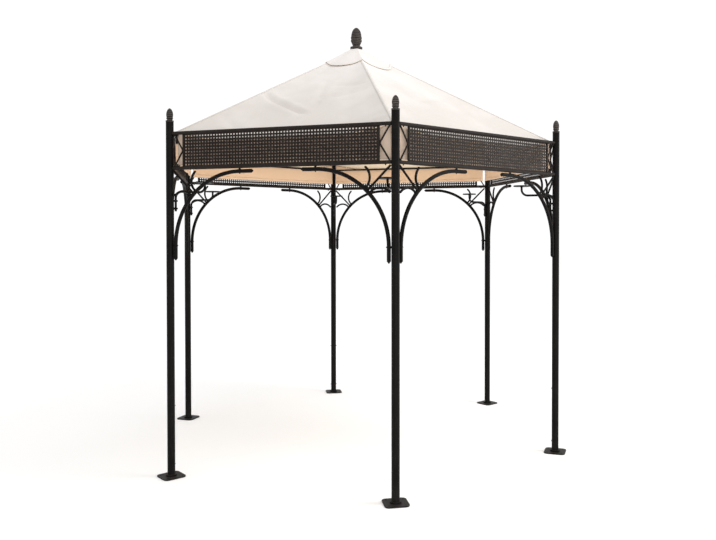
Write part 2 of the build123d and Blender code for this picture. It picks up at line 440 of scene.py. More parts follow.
def settle(piece: Piece, slot: Slot) -> Piece:
    """Fasten a finished piece to the gazebo's only body.

    Args:
        piece: Finished object.
        slot: Material slot of the record; not used.

    Returns:
        The same object.
    """
    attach(piece, BODY)
    LOG.info("%s: %d faces", piece.name, len(piece.data.polygons))
    return piece


def join(name: str, pieces: Sequence[Piece]) -> Piece:
    """Join meshes into the first.

    Args:
        name: Name of the result.
        pieces: Mesh objects.

    Returns:
        The joined object.
    """
    with bpy.context.temp_override(active_object=pieces[0], selected_editable_objects=list(pieces)):
        bpy.ops.object.join()
    pieces[0].name = pieces[0].data.name = name
    return pieces[0]


@dataclass(frozen=True)
class PowderCoat:
    """Satin powder coat on steel: rubbed patches, dust on top, splashes below, cast ribs."""

    name: str
    deep: Point = (0.0035, 0.003, 0.0027)
    worn: Point = (0.014, 0.0122, 0.0112)
    dust: Point = (0.17, 0.15, 0.132)
    roughness: float = 0.42
    gloss: float = 0.07
    dust_share: float = 0.13
    rib_pitch: float = 0.0
    rib_depth: float = 0.004
    patch_scale: float = 9.0
    speck_scale: float = 160.0
    grain_scale: float = 620.0
    grain_depth: float = 0.0006
    splash_height: float = 0.16

    def make(self) -> Material:
        """Build the material.

        Returns:
            The new material.
        """
        paint = Paint(self.name)
        place = paint.node("ShaderNodeTexCoord").outputs
        patches = paint.noise(place["Object"], self.patch_scale, 4.0, 0.6)
        specks = paint.noise(place["Object"], self.speck_scale, 3.0, 0.65)
        rubbed = paint.times(paint.range(patches, 0.35, 0.7), paint.range(specks, 0.42, 0.66))
        coat = paint.mix(rubbed, self.deep, self.worn)
        up, height = (paint.part(place[name], "Z") for name in ("Normal", "Object"))
        settled = paint.times(paint.range(up, 0.55, 0.95), paint.range(specks, 0.3, 0.7, 0.35))
        splashed = paint.times(paint.range(height, self.splash_height, 0.0),
                               paint.range(patches, 0.4, 0.65, 0.0, 0.4))
        dusty = paint.times(paint.math("MAXIMUM", settled, splashed), self.dust_share, clamp=True)
        dull = paint.range(patches, 0.3, 0.7, self.roughness - 0.05, self.roughness + 0.08)
        rough = paint.math("ADD", dull, paint.times(dusty, 0.6), clamp=True)
        if self.rib_pitch:
            ribs = paint.wave("Z", place["Object"], self.rib_pitch, Distortion=1.6, Detail=1.0,
                              Detail_Scale=30.0)
            coat = paint.mix(paint.range(ribs, 0.35, 1.0, 0.0, 0.75), coat, self.worn)
            relief = paint.relief(ribs, 0.8, self.rib_depth)
        else:
            grain = paint.noise(place["Object"], self.grain_scale, 2.0)
            relief = paint.relief(grain, 0.16, self.grain_depth)
        return paint.finish(Base_Color=paint.mix(dusty, coat, self.dust), Roughness=rough,
                            Normal=relief, Specular_IOR_Level=self.gloss)


@dataclass(frozen=True)
class Canvas:
    """Woven polyester canvas with a fine thread pattern, slubs, faint handling marks, and painted
    shade that darkens it lower down and lightens it higher up.
    """

    name: str
    light: Point
    shade: Point
    thread: float = 0.0012
    thread_depth: float = 0.0003
    slub_scale: float = 420.0
    mark_scale: float = 3.2
    roughness: float = 0.86
    sheen: float = 0.12
    # Share of painted shade by height: lighter at the first height, darker at the second.
    painted_shade: float = 0.0
    painted_shade_heights: tuple[float, float] = (2.85, 2.35)

    def make(self) -> Material:
        """Build the material.

        Returns:
            The new material.
        """
        paint = Paint(self.name)
        where = paint.node("ShaderNodeTexCoord").outputs["Object"]
        cloth = paint.first("ShaderNodeUVMap", {"uv_map": "weave"})
        weave = paint.times(*(paint.wave(axis, cloth, self.thread) for axis in "XY"))
        slub = paint.noise(cloth, self.slub_scale, 2.0)
        marks = paint.noise(where, self.mark_scale, 4.0, 0.55)
        tone = paint.math("ADD", paint.range(marks, 0.35, 0.7, 0.0, 0.65),
                          paint.range(slub, 0.3, 0.7, 0.0, 0.2))
        tone = paint.math("ADD", tone, paint.range(weave, 0.0, 1.0, 0.15, 0.0))
        # Painted shade: the cloth is darker towards the eave and lighter towards the apex.
        height = paint.part(where, "Z")
        painted_shade_by_height = paint.range(height, *self.painted_shade_heights, -self.painted_shade, self.painted_shade)
        tone = paint.math("ADD", tone, painted_shade_by_height, clamp=True)
        relief = paint.math("ADD", weave, paint.times(slub, 0.6))
        return paint.finish(Base_Color=paint.mix(tone, self.light, self.shade),
                            Roughness=self.roughness, Specular_IOR_Level=0.2,
                            Normal=paint.relief(relief, 0.25, self.thread_depth),
                            Sheen_Weight=self.sheen, Sheen_Roughness=0.5)


@dataclass(frozen=True)
class Thread:
    """Sewing thread, twisted and a little glossy."""

    name: str
    colour: Point
    fibre_scale: float = 900.0
    fibre_depth: float = 0.0002
    dark_share: float = 0.78

    def make(self) -> Material:
        """Build the material.

        Returns:
            The new material.
        """
        paint = Paint(self.name)
        where = paint.node("ShaderNodeTexCoord").outputs["Object"]
        fibre = paint.noise(where, self.fibre_scale, 2.0)
        darker = tuple(self.dark_share * part for part in self.colour)
        return paint.finish(Base_Color=paint.mix(fibre, self.colour, darker), Roughness=0.6,
                            Normal=paint.relief(fibre, 0.2, self.fibre_depth))


@dataclass(frozen=True)
class PaleFloor:
    """Matt pale floor of a studio."""

    name: str = "studio_floor"
    colour: Point = (0.97, 0.97, 0.97)

    def make(self) -> Material:
        """Build the material."""
        return Paint(self.name).finish(Base_Color=(*self.colour, 1.0), Roughness=0.9,
                                       Specular_IOR_Level=0.1)


@dataclass
class Finishes:
    """Every material of the gazebo, made once."""

    frame: Material = field(default_factory=PowderCoat("frame_powder_coat").make)
    finial: Material = field(default_factory=PowderCoat(
        "finial_powder_coat", deep=(0.019, 0.0158, 0.0142), worn=(0.115, 0.099, 0.09),
        dust_share=0.5, rib_pitch=0.013).make)
    frieze: Material = field(default_factory=PowderCoat(
        "frieze_powder_coat", deep=(0.0125, 0.0094, 0.0077), worn=(0.028, 0.0225, 0.019),
        roughness=0.46, gloss=0.11).make)
    lattice: Material = field(default_factory=PowderCoat(
        "lattice_powder_coat", deep=(0.025, 0.0157, 0.011), worn=(0.05, 0.0355, 0.0265),
        roughness=0.5, gloss=0.12).make)
    bolt: Material = field(default_factory=PowderCoat(
        "bolt_black", deep=(0.006, 0.0056, 0.0055), worn=(0.026, 0.024, 0.023),
        roughness=0.3, gloss=0.25).make)
    cloth: Material = field(default_factory=Canvas(
        "canopy_canvas", (0.735, 0.693, 0.664), (0.612, 0.57, 0.532), painted_shade=0.5).make)
    # Painted backlight: the underside is the roof's own canvas, painted peach as if lit by light
    # shining through the cloth.
    backlit_underside: Material = field(default_factory=Canvas(
        "canopy_underside_painted_backlight", (0.86, 0.72, 0.545), (0.82, 0.67, 0.49)).make)
    # The valance is the roof's own canvas: its outside is painted darker and warmer as the frieze's
    # shade with light through the cloth, its inside painted peach as backlight.
    flap: Material = field(default_factory=Canvas(
        "valance_outside_painted_shade_and_backlight", (0.74, 0.58, 0.458), (0.68, 0.52, 0.40)).make)
    valance: Material = field(default_factory=Canvas(
        "valance_inside_painted_backlight", (0.84, 0.62, 0.44), (0.80, 0.575, 0.395)).make)
    thread: Material = field(default_factory=Thread("sewing_thread", (0.66, 0.60, 0.53)).make)


@dataclass
class Points:
    """Places where a small shape is repeated, each with a direction and a size."""

    name: str
    rows: list[tuple[Array, Array, float]] = field(default_factory=list)

    def add(self, place: Array, axis: Array, size: float = 1.0) -> None:
        """Add one place, the direction that the shape's own Z takes there, and its scale."""
        self.rows.append((place, axis, size))

    def start(self) -> Piece:
        """Make the bare points with their attributes.

        Returns:
            The object that a tree runs on.
        """
        places, axes, sizes = zip(*self.rows)
        made = add_mesh(self.name, places)
        mark(made, "axis", np.array(axes))
        mark(made, "size", np.array(sizes))
        return made


@dataclass
class Fittings:
    """Bolts, weld beads and rounded rod ends, placed by the sizes of the CAD solids."""

    finishes: Finishes
    brace_tube: float = 0.012
    brace_line: float = -0.7095
    brace_height: float = 1.9215
    brace_radius: float = 0.457
    brace_tip: float = 0.0062
    tail: float = 0.088
    strut: float = 0.00675
    scroll: float = 0.007
    scroll_tip: float = 0.00756
    scroll_rise: float = 0.13705
    scroll_flare: float = 0.008
    scroll_root: float = 0.0205
    scroll_lean: float = 0.08
    end_bar: float = 0.6475
    end_bar_half: float = 0.006
    end_bar_bead: float = 0.007
    v_rod: float = 0.00525
    v_rod_seat: float = 1.15
    rail_bolt_inset: float = 0.06
    arm_inner: float = 0.045
    arm_bolts: tuple[float, float] = (1.698, 1.746)
    tray_root: Point = (-0.24, 0.0, 1.868)
    tray_bead: float = 0.0074
    post_bolts: tuple[float, float] = (0.075, 0.446)
    cross_bolted: tuple[int, int] = (1, 2)
    brace_nut: float = 0.6
    rail_nut: float = 0.7
    post_nut: float = 0.55
    arm_nut: float = 0.8
    bolts: Points = field(default_factory=lambda: Points("frame_bolts"))
    beads: Points = field(default_factory=lambda: Points("weld_beads"))
    tips: Points = field(default_factory=lambda: Points("rod_tips"))

    def build(self) -> None:
        """Make the three pieces."""
        for bay in range(BAYS):
            for side in (-1.0, 1.0):
                self.brace(bay, side)
                self.frieze(bay, side)
        for post in range(BAYS):
            self.post(post)
        for points, tree, finish in ((self.bolts, self.cap_nut(), self.finishes.bolt),
                                     (self.beads, self.bead(), self.finishes.frame),
                                     (self.tips, self.tip(), self.finishes.frame)):
            settle(tree.run(points.start(), finish), Slot.FRAME)

    def brace(self, bay: int, side: float) -> None:
        """Place the fittings of one arched brace.

        Args:
            bay: Number of the bay.
            side: -1 or 1, the end of the bay.
        """
        def put(points: Points, x: float, z: float, way: tuple[float, float], size: float) -> None:
            """Add a fitting in the plane of the brace."""
            points.add(in_bay(bay, (-side * x, 0.0, z)),
                       in_bay(bay, (-side * way[0], 0.0, way[1]), 0.0), size)

        centre_x = self.brace_line + self.brace_radius
        centre_z = self.brace_height - self.brace_radius
        half = math.sqrt(0.5)
        root_x, root_z = centre_x - self.brace_radius * half, centre_z + self.brace_radius * half
        wall, soffit = self.brace_line + self.brace_tube, self.brace_height - self.brace_tube
        put(self.bolts, wall, centre_z, (1.0, 0.0), self.brace_nut)
        put(self.bolts, centre_x, soffit, (0.0, -1.0), self.brace_nut)
        put(self.tips, self.brace_line, centre_z - self.tail, (0.0, -1.0), self.brace_tip)
        put(self.tips, centre_x + self.tail, self.brace_height, (1.0, 0.0), self.brace_tip)
        flare, rise = self.scroll_flare, self.scroll_rise
        put(self.tips, root_x + flare, root_z + rise, (0.0, 1.0), self.scroll_tip)
        put(self.tips, root_x - rise, root_z - flare, (-1.0, 0.0), self.scroll_tip)
        reach, slant = self.brace_tube * half, (-half, half)
        put(self.beads, root_x - reach, root_z + reach, slant, self.strut)
        for way in (1.0, -1.0):
            step, lean = way * self.scroll_root * half, way * self.scroll_lean
            put(self.beads, root_x + step - (1.0 + lean) * reach,
                root_z + step + (1.0 - lean) * reach, slant, self.scroll)

    def frieze(self, bay: int, side: float) -> None:
        """Place the fittings at one end of a frieze.

        Args:
            bay: Number of the bay.
            side: -1 or 1, the end of the bay.
        """
        middle = (LOW_RAIL + TOP_RAIL) / 2
        root_x, apex_x = BAY_HALF - POST_RADIUS - self.v_rod, self.end_bar + self.end_bar_half
        for rail, up in ((LOW_RAIL, 1.0), (TOP_RAIL, -1.0)):
            self.beads.add(in_bay(bay, (side * (BAY_HALF - POST_RADIUS), 0.0, rail)),
                           in_bay(bay, (side, 0.0, 0.0), 0.0), RAIL_RADIUS)
            bolt = (side * (BAY_HALF - self.rail_bolt_inset), 0.0, rail - RAIL_RADIUS)
            self.bolts.add(in_bay(bay, bolt), -UP, self.rail_nut)
            self.beads.add(in_bay(bay, (side * self.end_bar, 0.0, rail + up * RAIL_RADIUS)), UP,
                           self.end_bar_bead)
            line = np.array([side * (apex_x - root_x), 0.0, middle - rail])
            unit = line / np.linalg.norm(line)
            low = np.array([side * root_x, 0.0, rail]) + unit * RAIL_RADIUS * self.v_rod_seat
            high = np.array([side * apex_x, 0.0, middle]) - unit * self.v_rod
            for place in (low, high):
                self.beads.add(in_bay(bay, place), in_bay(bay, unit, 0.0), self.v_rod)

    def post(self, post: int) -> None:
        """Place the fittings of one post.

        Args:
            post: Number of the post.
        """
        sides = ((0.0, -1.0), (0.0, 1.0)) if post in self.cross_bolted else ((-1.0, 0.0),)
        for height in self.post_bolts:
            for x, y in sides:
                self.bolts.add(at_post(post, (x * POST_RADIUS, y * POST_RADIUS, height)),
                               at_post(post, (x, y, 0.0), 0.0), self.post_nut)
        for height in self.arm_bolts:
            self.bolts.add(at_post(post, (-self.arm_inner, 0.0, height)),
                           at_post(post, (-1.0, 0.0, 0.0), 0.0), self.arm_nut)
        self.beads.add(at_post(post, self.tray_root), UP, self.tray_bead)

    def cap_nut(self) -> Repeater:
        """Make the tree of a domed nut on a washer.

        Returns:
            The tree.
        """
        tree = Repeater("cap_nuts", {"Washer Radius": 0.0078, "Washer Height": 0.0014,
                                     "Nut Radius": 0.0066, "Nut Height": 0.0044,
                                     "Dome Radius": 0.0049})
        given = tree.given
        washer, nut = (tree.first("GeometryNodeMeshCylinder", Vertices=sides,
                                  Radius=given[f"{name} Radius"], Depth=given[f"{name} Height"])
                       for name, sides in (("Washer", 16), ("Nut", 6)))
        dome = tree.first("GeometryNodeMeshUVSphere", Segments=10, Rings=6,
                          Radius=given["Dome Radius"])
        stack = tree.math("ADD", given["Washer Height"], given["Nut Height"])
        middle = tree.math("ADD", given["Washer Height"], tree.times(given["Nut Height"], 0.5))
        top = tree.rounded(tree.raised(dome, stack))
        return tree.copied(tree.together(washer, tree.raised(nut, middle), top))

    def bead(self) -> Repeater:
        """Make the tree of a weld bead round a rod of radius 1.

        Returns:
            The tree.
        """
        tree = Repeater("weld_rings", {"Ring Radius": 1.06, "Bead Radius": 0.24})
        ring, section = (tree.first("GeometryNodeCurvePrimitiveCircle", Resolution=count,
                                    Radius=tree.given[f"{name} Radius"])
                         for name, count in (("Ring", 14), ("Bead", 5)))
        return tree.copied(tree.rounded(tree.first("GeometryNodeCurveToMesh", Curve=ring,
                                                   Profile_Curve=section)))

    def tip(self) -> Repeater:
        """Make the tree of a rounded rod end of radius 1.

        Returns:
            The tree.
        """
        tree = Repeater("rod_ends", {"Tip Radius": 1.0})
        ball = tree.first("GeometryNodeMeshUVSphere", Segments=14, Rings=8,
                          Radius=tree.given["Tip Radius"])
        return tree.copied(tree.rounded(ball))


@dataclass
class Lattice:
    """Thin upright strips of the friezes, welded to the inner side of the level strips."""

    finishes: Finishes
    columns: int = 64
    strip: float = 0.011
    thickness: float = 0.0011
    edge_roll: float = 0.0006
    flat_share: float = 0.4
    half_width: float = 0.6415

    def build(self, bay: int) -> None:
        """Make one panel in place of its CAD node.

        Args:
            bay: Number of the bay.
        """
        low, high = LOW_RAIL + RAIL_RADIUS, TOP_RAIL - RAIL_RADIUS
        pitch = 2 * self.half_width / self.columns
        out = in_bay(bay, (0.0, -1.0, 0.0), 0.0)
        strips, borders = Points(f"strips_{BAY_NAMES[bay]}"), Points(f"borders_{BAY_NAMES[bay]}")
        for column in range(self.columns + 1):
            place = (-self.half_width + pitch * column, self.thickness / 2, (low + high) / 2)
            strips.add(in_bay(bay, place), out)
        for height in (low + self.strip / 4, high - self.strip / 4):
            borders.add(in_bay(bay, (0.0, self.thickness * 1.5, height)), out)
        upright = self.slat("lattice_strips", self.strip, high - low)
        level = self.slat("lattice_borders", 2 * self.half_width + self.strip, self.strip / 2)
        made = join(f"lattice_panel_{BAY_NAMES[bay]}",
                    [upright.run(strips.start(), self.finishes.lattice),
                     level.run(borders.start(), self.finishes.lattice)])
        settle(made, Slot.LATTICE)
        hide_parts(f"lattice_{BAY_NAMES[bay]}")

    def slat(self, name: str, width: float, height: float) -> Repeater:
        """Make the tree of a flat strip with bent-back long edges, repeated on the points.

        Args:
            name: Name of the tree.
            width: Size along the bay.
            height: Upright size.

        Returns:
            The tree.
        """
        tree = Repeater(name, {"Slat Width": width, "Slat Thickness": self.thickness,
                               "Slat Height": height, "Edge Roll": self.edge_roll})
        given = tree.given
        block = tree.first("GeometryNodeMeshCube", Vertices_X=4, Vertices_Y=2, Vertices_Z=2,
                           Size=tree.box("Slat Width", "Slat Thickness", "Slat Height"))
        across = tree.part(tree.first("GeometryNodeInputPosition"), "X")
        outer = tree.math("GREATER_THAN", tree.math("ABSOLUTE", across),
                          tree.times(given["Slat Width"], self.flat_share))
        roll = tree.vector(Y=tree.times(outer, given["Edge Roll"]))
        rolled = tree.first("GeometryNodeSetPosition", Geometry=block, Offset=roll)
        turn = tree.facing(tree.attribute("axis", "FLOAT_VECTOR"), axis="Y", pivot="Z")
        return tree.finish(tree.first("GeometryNodeInstanceOnPoints", Points=given["Geometry"],
                                      Instance=rolled, Rotation=turn))


@dataclass(frozen=True)
class Crease:
    """One fold of the cloth, from place to place on a gore.

    Places are (across, down): -1 to 1 from hip to hip, and 0 to 1 from the apex to the eave.
    """

    bay: int
    start: tuple[float, float]
    end: tuple[float, float]
    width: float
    depth: float


@dataclass(frozen=True)
class Swell:
    """Rise or dip beside a fold's line, in depths of the fold; place and reach are in widths."""

    height: float
    place: float
    reach: float

    def rise(self, beside: Array) -> Array:
        """Height at places beside the line."""
        return self.height * np.exp(-((beside - self.place) / self.reach) ** 2)


@dataclass(frozen=True)
class RoofShape:
    """Lines of the roof that the CAD solids share."""

    eave_radius: float = 1.467
    corner_height: float = 2.181
    eave_height: float = 2.125
    apex_height: float = 2.9387
    slack_share: float = 0.382
    slack_reach: float = 1.15
    slack_power: float = 1.45

    @property
    def apothem(self) -> float:
        """Distance of the eave's middle from the axis."""
        return self.eave_radius * math.cos(SECTOR / 2)

    @property
    def half_span(self) -> float:
        """Half of the eave's length on one side."""
        return self.eave_radius * math.sin(SECTOR / 2)

    def eave(self, across: Array) -> Array:
        """Height of the eave at places from hip to hip, -1 to 1.

        Args:
            across: The places.

        Returns:
            Heights.
        """
        reach = self.slack_share * self.slack_reach
        rise = np.clip((np.abs(across) - 1.0 + reach) / reach, 0.0, 1.0)
        return self.eave_height + (self.corner_height - self.eave_height) * rise ** self.slack_power

    def gore(self, across: Array, down: Array) -> Array:
        """Points of the plain gore whose middle faces +X, by place across and share down."""
        height = self.apex_height - down * (self.apex_height - self.eave(across))
        return np.stack([down * self.apothem, down * across * self.half_span, height], axis=-1)


@dataclass
class Cloth:
    """Grid of cloth, open or closed round the axis, with a thickness and two finishes."""

    name: str
    grid: Array
    weave: Array
    thickness: float
    closed: bool = False
    # Edges in the inner finish: on the vent cap, a painted glow of light through the cloth.
    backlit_edge: bool = False

    def build(self, outer: Material, inner: Material) -> Piece:
        """Make the sheet.

        Args:
            outer: Finish of the side that the grid faces.
            inner: Finish of the other side, and of the edges where backlit_edge is set, which
                paints them as lit by light through the cloth.

        Returns:
            The sheet, as a closed mesh.
        """
        rows, columns = self.grid.shape[:2]
        number = np.arange(rows * columns).reshape(rows, columns)
        if self.closed:
            number = np.concatenate([number, number[:, :1]], axis=1)
        upper, lower = number[:-1], number[1:]
        faces = np.stack([upper[:, :-1], lower[:, :-1], lower[:, 1:], upper[:, 1:]], axis=-1)
        made = add_mesh(self.name, self.grid.reshape(-1, 3), faces.reshape(-1, 4).tolist(),
                        (outer, inner))
        layer = made.data.uv_layers.new(name="weave")
        corner = np.zeros(len(made.data.loops), np.int32)
        made.data.loops.foreach_get("vertex_index", corner)
        layer.data.foreach_set("uv", self.weave.reshape(-1, 2)[corner].astype(np.float32).ravel())
        solid = made.modifiers.new("thickness", "SOLIDIFY")
        solid.thickness, solid.offset = self.thickness, -1.0
        solid.material_offset, solid.material_offset_rim = 1, int(self.backlit_edge)
        made.data.polygons.foreach_set("use_smooth", np.ones(len(made.data.polygons), bool))
        return freeze(made)


@dataclass
class Stitches:
    """Rows of stitches along paths on the cloth."""

    name: str
    pitch: float = 0.009
    length: float = 0.0062
    width: float = 0.0013
    height: float = 0.0009
    places: list[Array] = field(default_factory=list)
    ups: list[Array] = field(default_factory=list)
    edges: list[tuple[int, int]] = field(default_factory=list)

    def add(self, path: Array, up: Array) -> None:
        """Add one row.

        Args:
            path: Places along it.
            up: Directions away from the cloth, one for each place.
        """
        first = len(self.places)
        self.places += list(path)
        self.ups += list(up)
        self.edges += [(first + step, first + step + 1) for step in range(len(path) - 1)]

    def build(self, finish: Material) -> Piece:
        """Make all rows as one piece.

        Args:
            finish: Material of the thread.

        Returns:
            The stitches.
        """
        made = add_mesh(self.name, self.places, edges=self.edges)
        mark(made, "up", np.array(self.ups))
        return settle(self.rows().run(made, finish), Slot.CLOTH)

    def rows(self) -> Repeater:
        """Make the tree that lays stitches end to end along the paths.

        Returns:
            The tree.
        """
        tree = Repeater(self.name, {"Pitch": self.pitch, "Stitch Length": self.length,
                                    "Stitch Width": self.width, "Stitch Height": self.height})
        given = tree.given
        path = tree.first("GeometryNodeMeshToCurve", Mesh=given["Geometry"])
        spots = tree.node("GeometryNodeCurveToPoints", {"mode": "LENGTH"}, Curve=path,
                          Length=given["Pitch"]).outputs
        ball = tree.first("GeometryNodeMeshUVSphere", Segments=6, Rings=3, Radius=0.5)
        along = tree.facing(spots["Tangent"], axis="X")
        turn = tree.facing(tree.attribute("up", "FLOAT_VECTOR"), pivot="X", Rotation=along)
        copies = tree.first("GeometryNodeInstanceOnPoints", Points=spots["Points"], Instance=ball,
                            Rotation=turn,
                            Scale=tree.box("Stitch Length", "Stitch Width", "Stitch Height"))
        return tree.finish(tree.rounded(copies))


@dataclass
class Canopy:
    """Main canopy: one sheet from the vent to the eave, with folds, a gentle sag and taped hips."""

    finishes: Finishes
    shape: RoofShape
    vent_share: float = 0.1025
    columns: int = 72
    rows: int = 84
    sag: float = 0.014
    ripple: float = 0.0022
    fine_ripple: float = 0.0012
    thickness: float = 0.0016
    slope_share: float = 1.19
    slope_length: float = 1.5
    weave_step: float = 3.0
    tape_width: float = 0.028
    tape_thickness: float = 0.0009
    tape_lift: float = 0.0013
    tape_shares: tuple[float, ...] = (-1.0, -0.5, -0.08, 0.08, 0.5, 1.0)
    tape_ends: tuple[float, float] = (0.19, 0.998)
    tape_rows: int = 120
    seam_ends: tuple[float, float] = (0.194, 0.992)
    seam_points: int = 140
    seam_share: float = 0.34
    seam_lift: float = 0.0015
    hem: float = 0.016
    hem_end: float = 0.985
    hem_points: int = 120
    hem_lift: float = 0.0003
    fold_start: float = 12.0
    fold_end: float = 4.0
    fold_shape: tuple[Swell, ...] = (Swell(0.45, -1.15, 0.95), Swell(-1.0, 0.0, 0.72),
                                     Swell(0.4, 1.5, 1.25))
    creases: tuple[Crease, ...] = (
        Crease(4, (-0.99, 0.560), (0.14, 0.796), 0.031, 0.021),
        Crease(4, (0.08, 0.606), (0.995, 0.55), 0.042, 0.0105),
        Crease(4, (0.06, 0.452), (0.96, 0.505), 0.032, 0.0055),
        Crease(4, (0.72, 0.952), (0.97, 0.94), 0.034, 0.0075),
        Crease(4, (-0.75, 0.925), (0.3, 0.95), 0.040, 0.0045),
        Crease(4, (-0.93, 0.80), (-0.55, 0.90), 0.045, 0.0065),
        Crease(4, (-0.05, 0.40), (0.10, 0.69), 0.045, 0.0055),
        Crease(5, (-0.9, 0.93), (-0.3, 0.955), 0.038, 0.0060),
        Crease(5, (-0.2, 0.6), (0.9, 0.5), 0.055, 0.0060),
        Crease(5, (-0.85, 0.72), (0.1, 0.83), 0.050, 0.0070),
        Crease(0, (-0.9, 0.60), (0.2, 0.80), 0.052, 0.0140),
        Crease(0, (0.2, 0.90), (0.9, 0.94), 0.038, 0.0060),
        Crease(1, (-0.2, 0.72), (0.95, 0.58), 0.055, 0.0160),
        Crease(1, (-0.85, 0.92), (-0.1, 0.95), 0.038, 0.0060),
        Crease(2, (-0.93, 0.56), (0.05, 0.78), 0.050, 0.0150),
        Crease(2, (0.1, 0.66), (0.9, 0.60), 0.055, 0.0090),
        Crease(3, (-0.1, 0.80), (0.95, 0.60), 0.055, 0.0140),
        Crease(3, (-0.9, 0.93), (-0.35, 0.95), 0.038, 0.0060),
    )

    def build(self) -> None:
        """Make the canopy with its tapes and stitches."""
        shape = self.shape
        u, s = np.meshgrid(np.linspace(-1.0, 1.0, self.columns, endpoint=False),
                           np.linspace(self.vent_share, 1.0, self.rows))
        slope = math.hypot(shape.apothem, shape.apex_height - shape.eave_height)
        grid = around(lambda bay: self.surface(bay, u, s))
        weave = around(lambda bay: np.stack(
            [u * s * shape.half_span + self.weave_step * bay, s * slope], axis=-1))
        sheet = Cloth("canopy_sheet", grid, weave, self.thickness, closed=True)
        # The underside gets the peach finish: painted backlight through the cloth.
        made = settle(sheet.build(self.finishes.cloth, self.finishes.backlit_underside), Slot.CLOTH)
        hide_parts("canopy")
        self.tapes()
        self.seams()

    def surface(self, bay: int, u: Array, s: Array, lift: float = 0.0) -> Array:
        """Points of the cloth's upper side.

        Args:
            bay: Number of the bay.
            u: Places from hip to hip.
            s: Shares from apex to eave.
            lift: Distance above the cloth.

        Returns:
            Places.
        """
        plain = self.shape.gore(u, s)
        plain[..., 2] -= self.drop(bay, u, s)
        places = turned(plain, (bay + 0.5) * SECTOR)
        return places + lift * self.normal(bay, u, s) if lift else places

    def normal(self, bay: int, u: Array, s: Array, step: float = 0.006) -> Array:
        """Directions away from the cloth's upper side.

        Args:
            bay: Number of the bay.
            u: Places from hip to hip.
            s: Shares from apex to eave.
            step: Distance of the neighbours that are compared.

        Returns:
            Unit directions.
        """
        inner = np.clip(u, step - 1.0, 1.0 - step)
        across = self.surface(bay, inner + step, s) - self.surface(bay, inner - step, s)
        down = self.surface(bay, inner, s + step) - self.surface(bay, inner, s - step)
        face = np.cross(down, across)
        return face / np.linalg.norm(face, axis=-1, keepdims=True)

    def beside_hip(self, hip: int, offset: float, s: Array) -> tuple[int, Array]:
        """Find the gore, and the places across it, at a signed distance from a hip."""
        share = abs(offset) / (s * self.shape.half_span)
        return (hip, 1.0 - share) if offset < 0.0 else ((hip + 1) % BAYS, share - 1.0)

    def tapes(self) -> Piece:
        """Make the band that is sewn over each hip.

        Returns:
            The six bands as one piece.
        """
        s = np.linspace(*self.tape_ends, self.tape_rows)
        bands = []
        for hip in range(BAYS):
            columns, weave = [], []
            for offset in np.array(self.tape_shares) * self.tape_width / 2:
                bay, u = self.beside_hip(hip, float(offset), s)
                columns.append(self.surface(bay, u, s, self.tape_lift))
                weave.append(np.stack([np.full_like(s, offset), s * self.slope_length], axis=-1))
            band = Cloth(f"tape_{hip}", np.stack(columns, axis=1), np.stack(weave, axis=1),
                         self.tape_thickness)
            bands.append(band.build(self.finishes.cloth, self.finishes.cloth))
        return settle(join("hip_tapes", bands), Slot.CLOTH)

    def seams(self) -> Piece:
        """Sew the tapes and the eave's hem.

        Returns:
            The stitches.
        """
        rows = Stitches("canopy_stitches")
        s = np.linspace(*self.seam_ends, self.seam_points)
        u = np.linspace(-self.hem_end, self.hem_end, self.hem_points)
        level = np.full_like(u, 1.0 - self.hem / self.slope_length)
        for bay in range(BAYS):
            for share in (-self.seam_share, self.seam_share):
                gore, beside = self.beside_hip(bay, share * self.tape_width, s)
                rows.add(self.surface(gore, beside, s, self.seam_lift),
                         self.normal(gore, beside, s))
            rows.add(self.surface(bay, u, level, self.hem_lift), self.normal(bay, u, level))
        return rows.build(self.finishes.thread)

    def drop(self, bay: int, u: Array, s: Array) -> Array:
        """How far the cloth lies below its plain gore, with ripples that differ from bay to bay.

        Args:
            bay: Number of the bay.
            u: Places from hip to hip.
            s: Shares from apex to eave.

        Returns:
            Drops.
        """
        way = np.clip((s - self.vent_share) / (1.0 - self.vent_share), 0.0, 1.0)
        held = (1.0 - u * u) * np.sin(np.pi * way)
        low = self.sag * held * (0.75 + 0.25 * math.sin(2.3 * bay + 0.7))
        waves = self.ripple * np.sin(5.1 * u * s + 1.7 * bay)
        waves = waves * np.sin(7.3 * s + 0.9 * bay + 1.3 * u)
        waves += self.fine_ripple * np.sin(13.0 * u * s + 9.0 * s + 2.1 * bay)
        low = low + waves * np.clip(held * 3.0, 0.0, 1.0)
        for crease in self.creases:
            if crease.bay == bay:
                low = low - self.fold(crease, u, s)
        return low

    def fold(self, crease: Crease, u: Array, s: Array) -> Array:
        """Rise of one fold: a valley along its line between two soft ridges.

        Args:
            crease: The fold.
            u: Places from hip to hip.
            s: Shares from apex to eave.

        Returns:
            Rises.
        """
        def flat(across: float | Array, down: float | Array) -> Array:
            """Places on the gore when it is laid flat."""
            return np.stack([np.asarray(across * down * self.shape.half_span),
                             np.asarray(down * self.slope_length)], axis=-1)

        start = flat(*crease.start)
        line = flat(*crease.end) - start
        length = float(np.linalg.norm(line))
        line = line / length
        away = flat(u, s) - start
        along = away @ line / length
        beside = (away[..., 1] * line[0] - away[..., 0] * line[1]) / crease.width
        fade = smooth(along * self.fold_start) * smooth((1.0 - along) * self.fold_end)
        return crease.depth * fade * sum(swell.rise(beside) for swell in self.fold_shape)


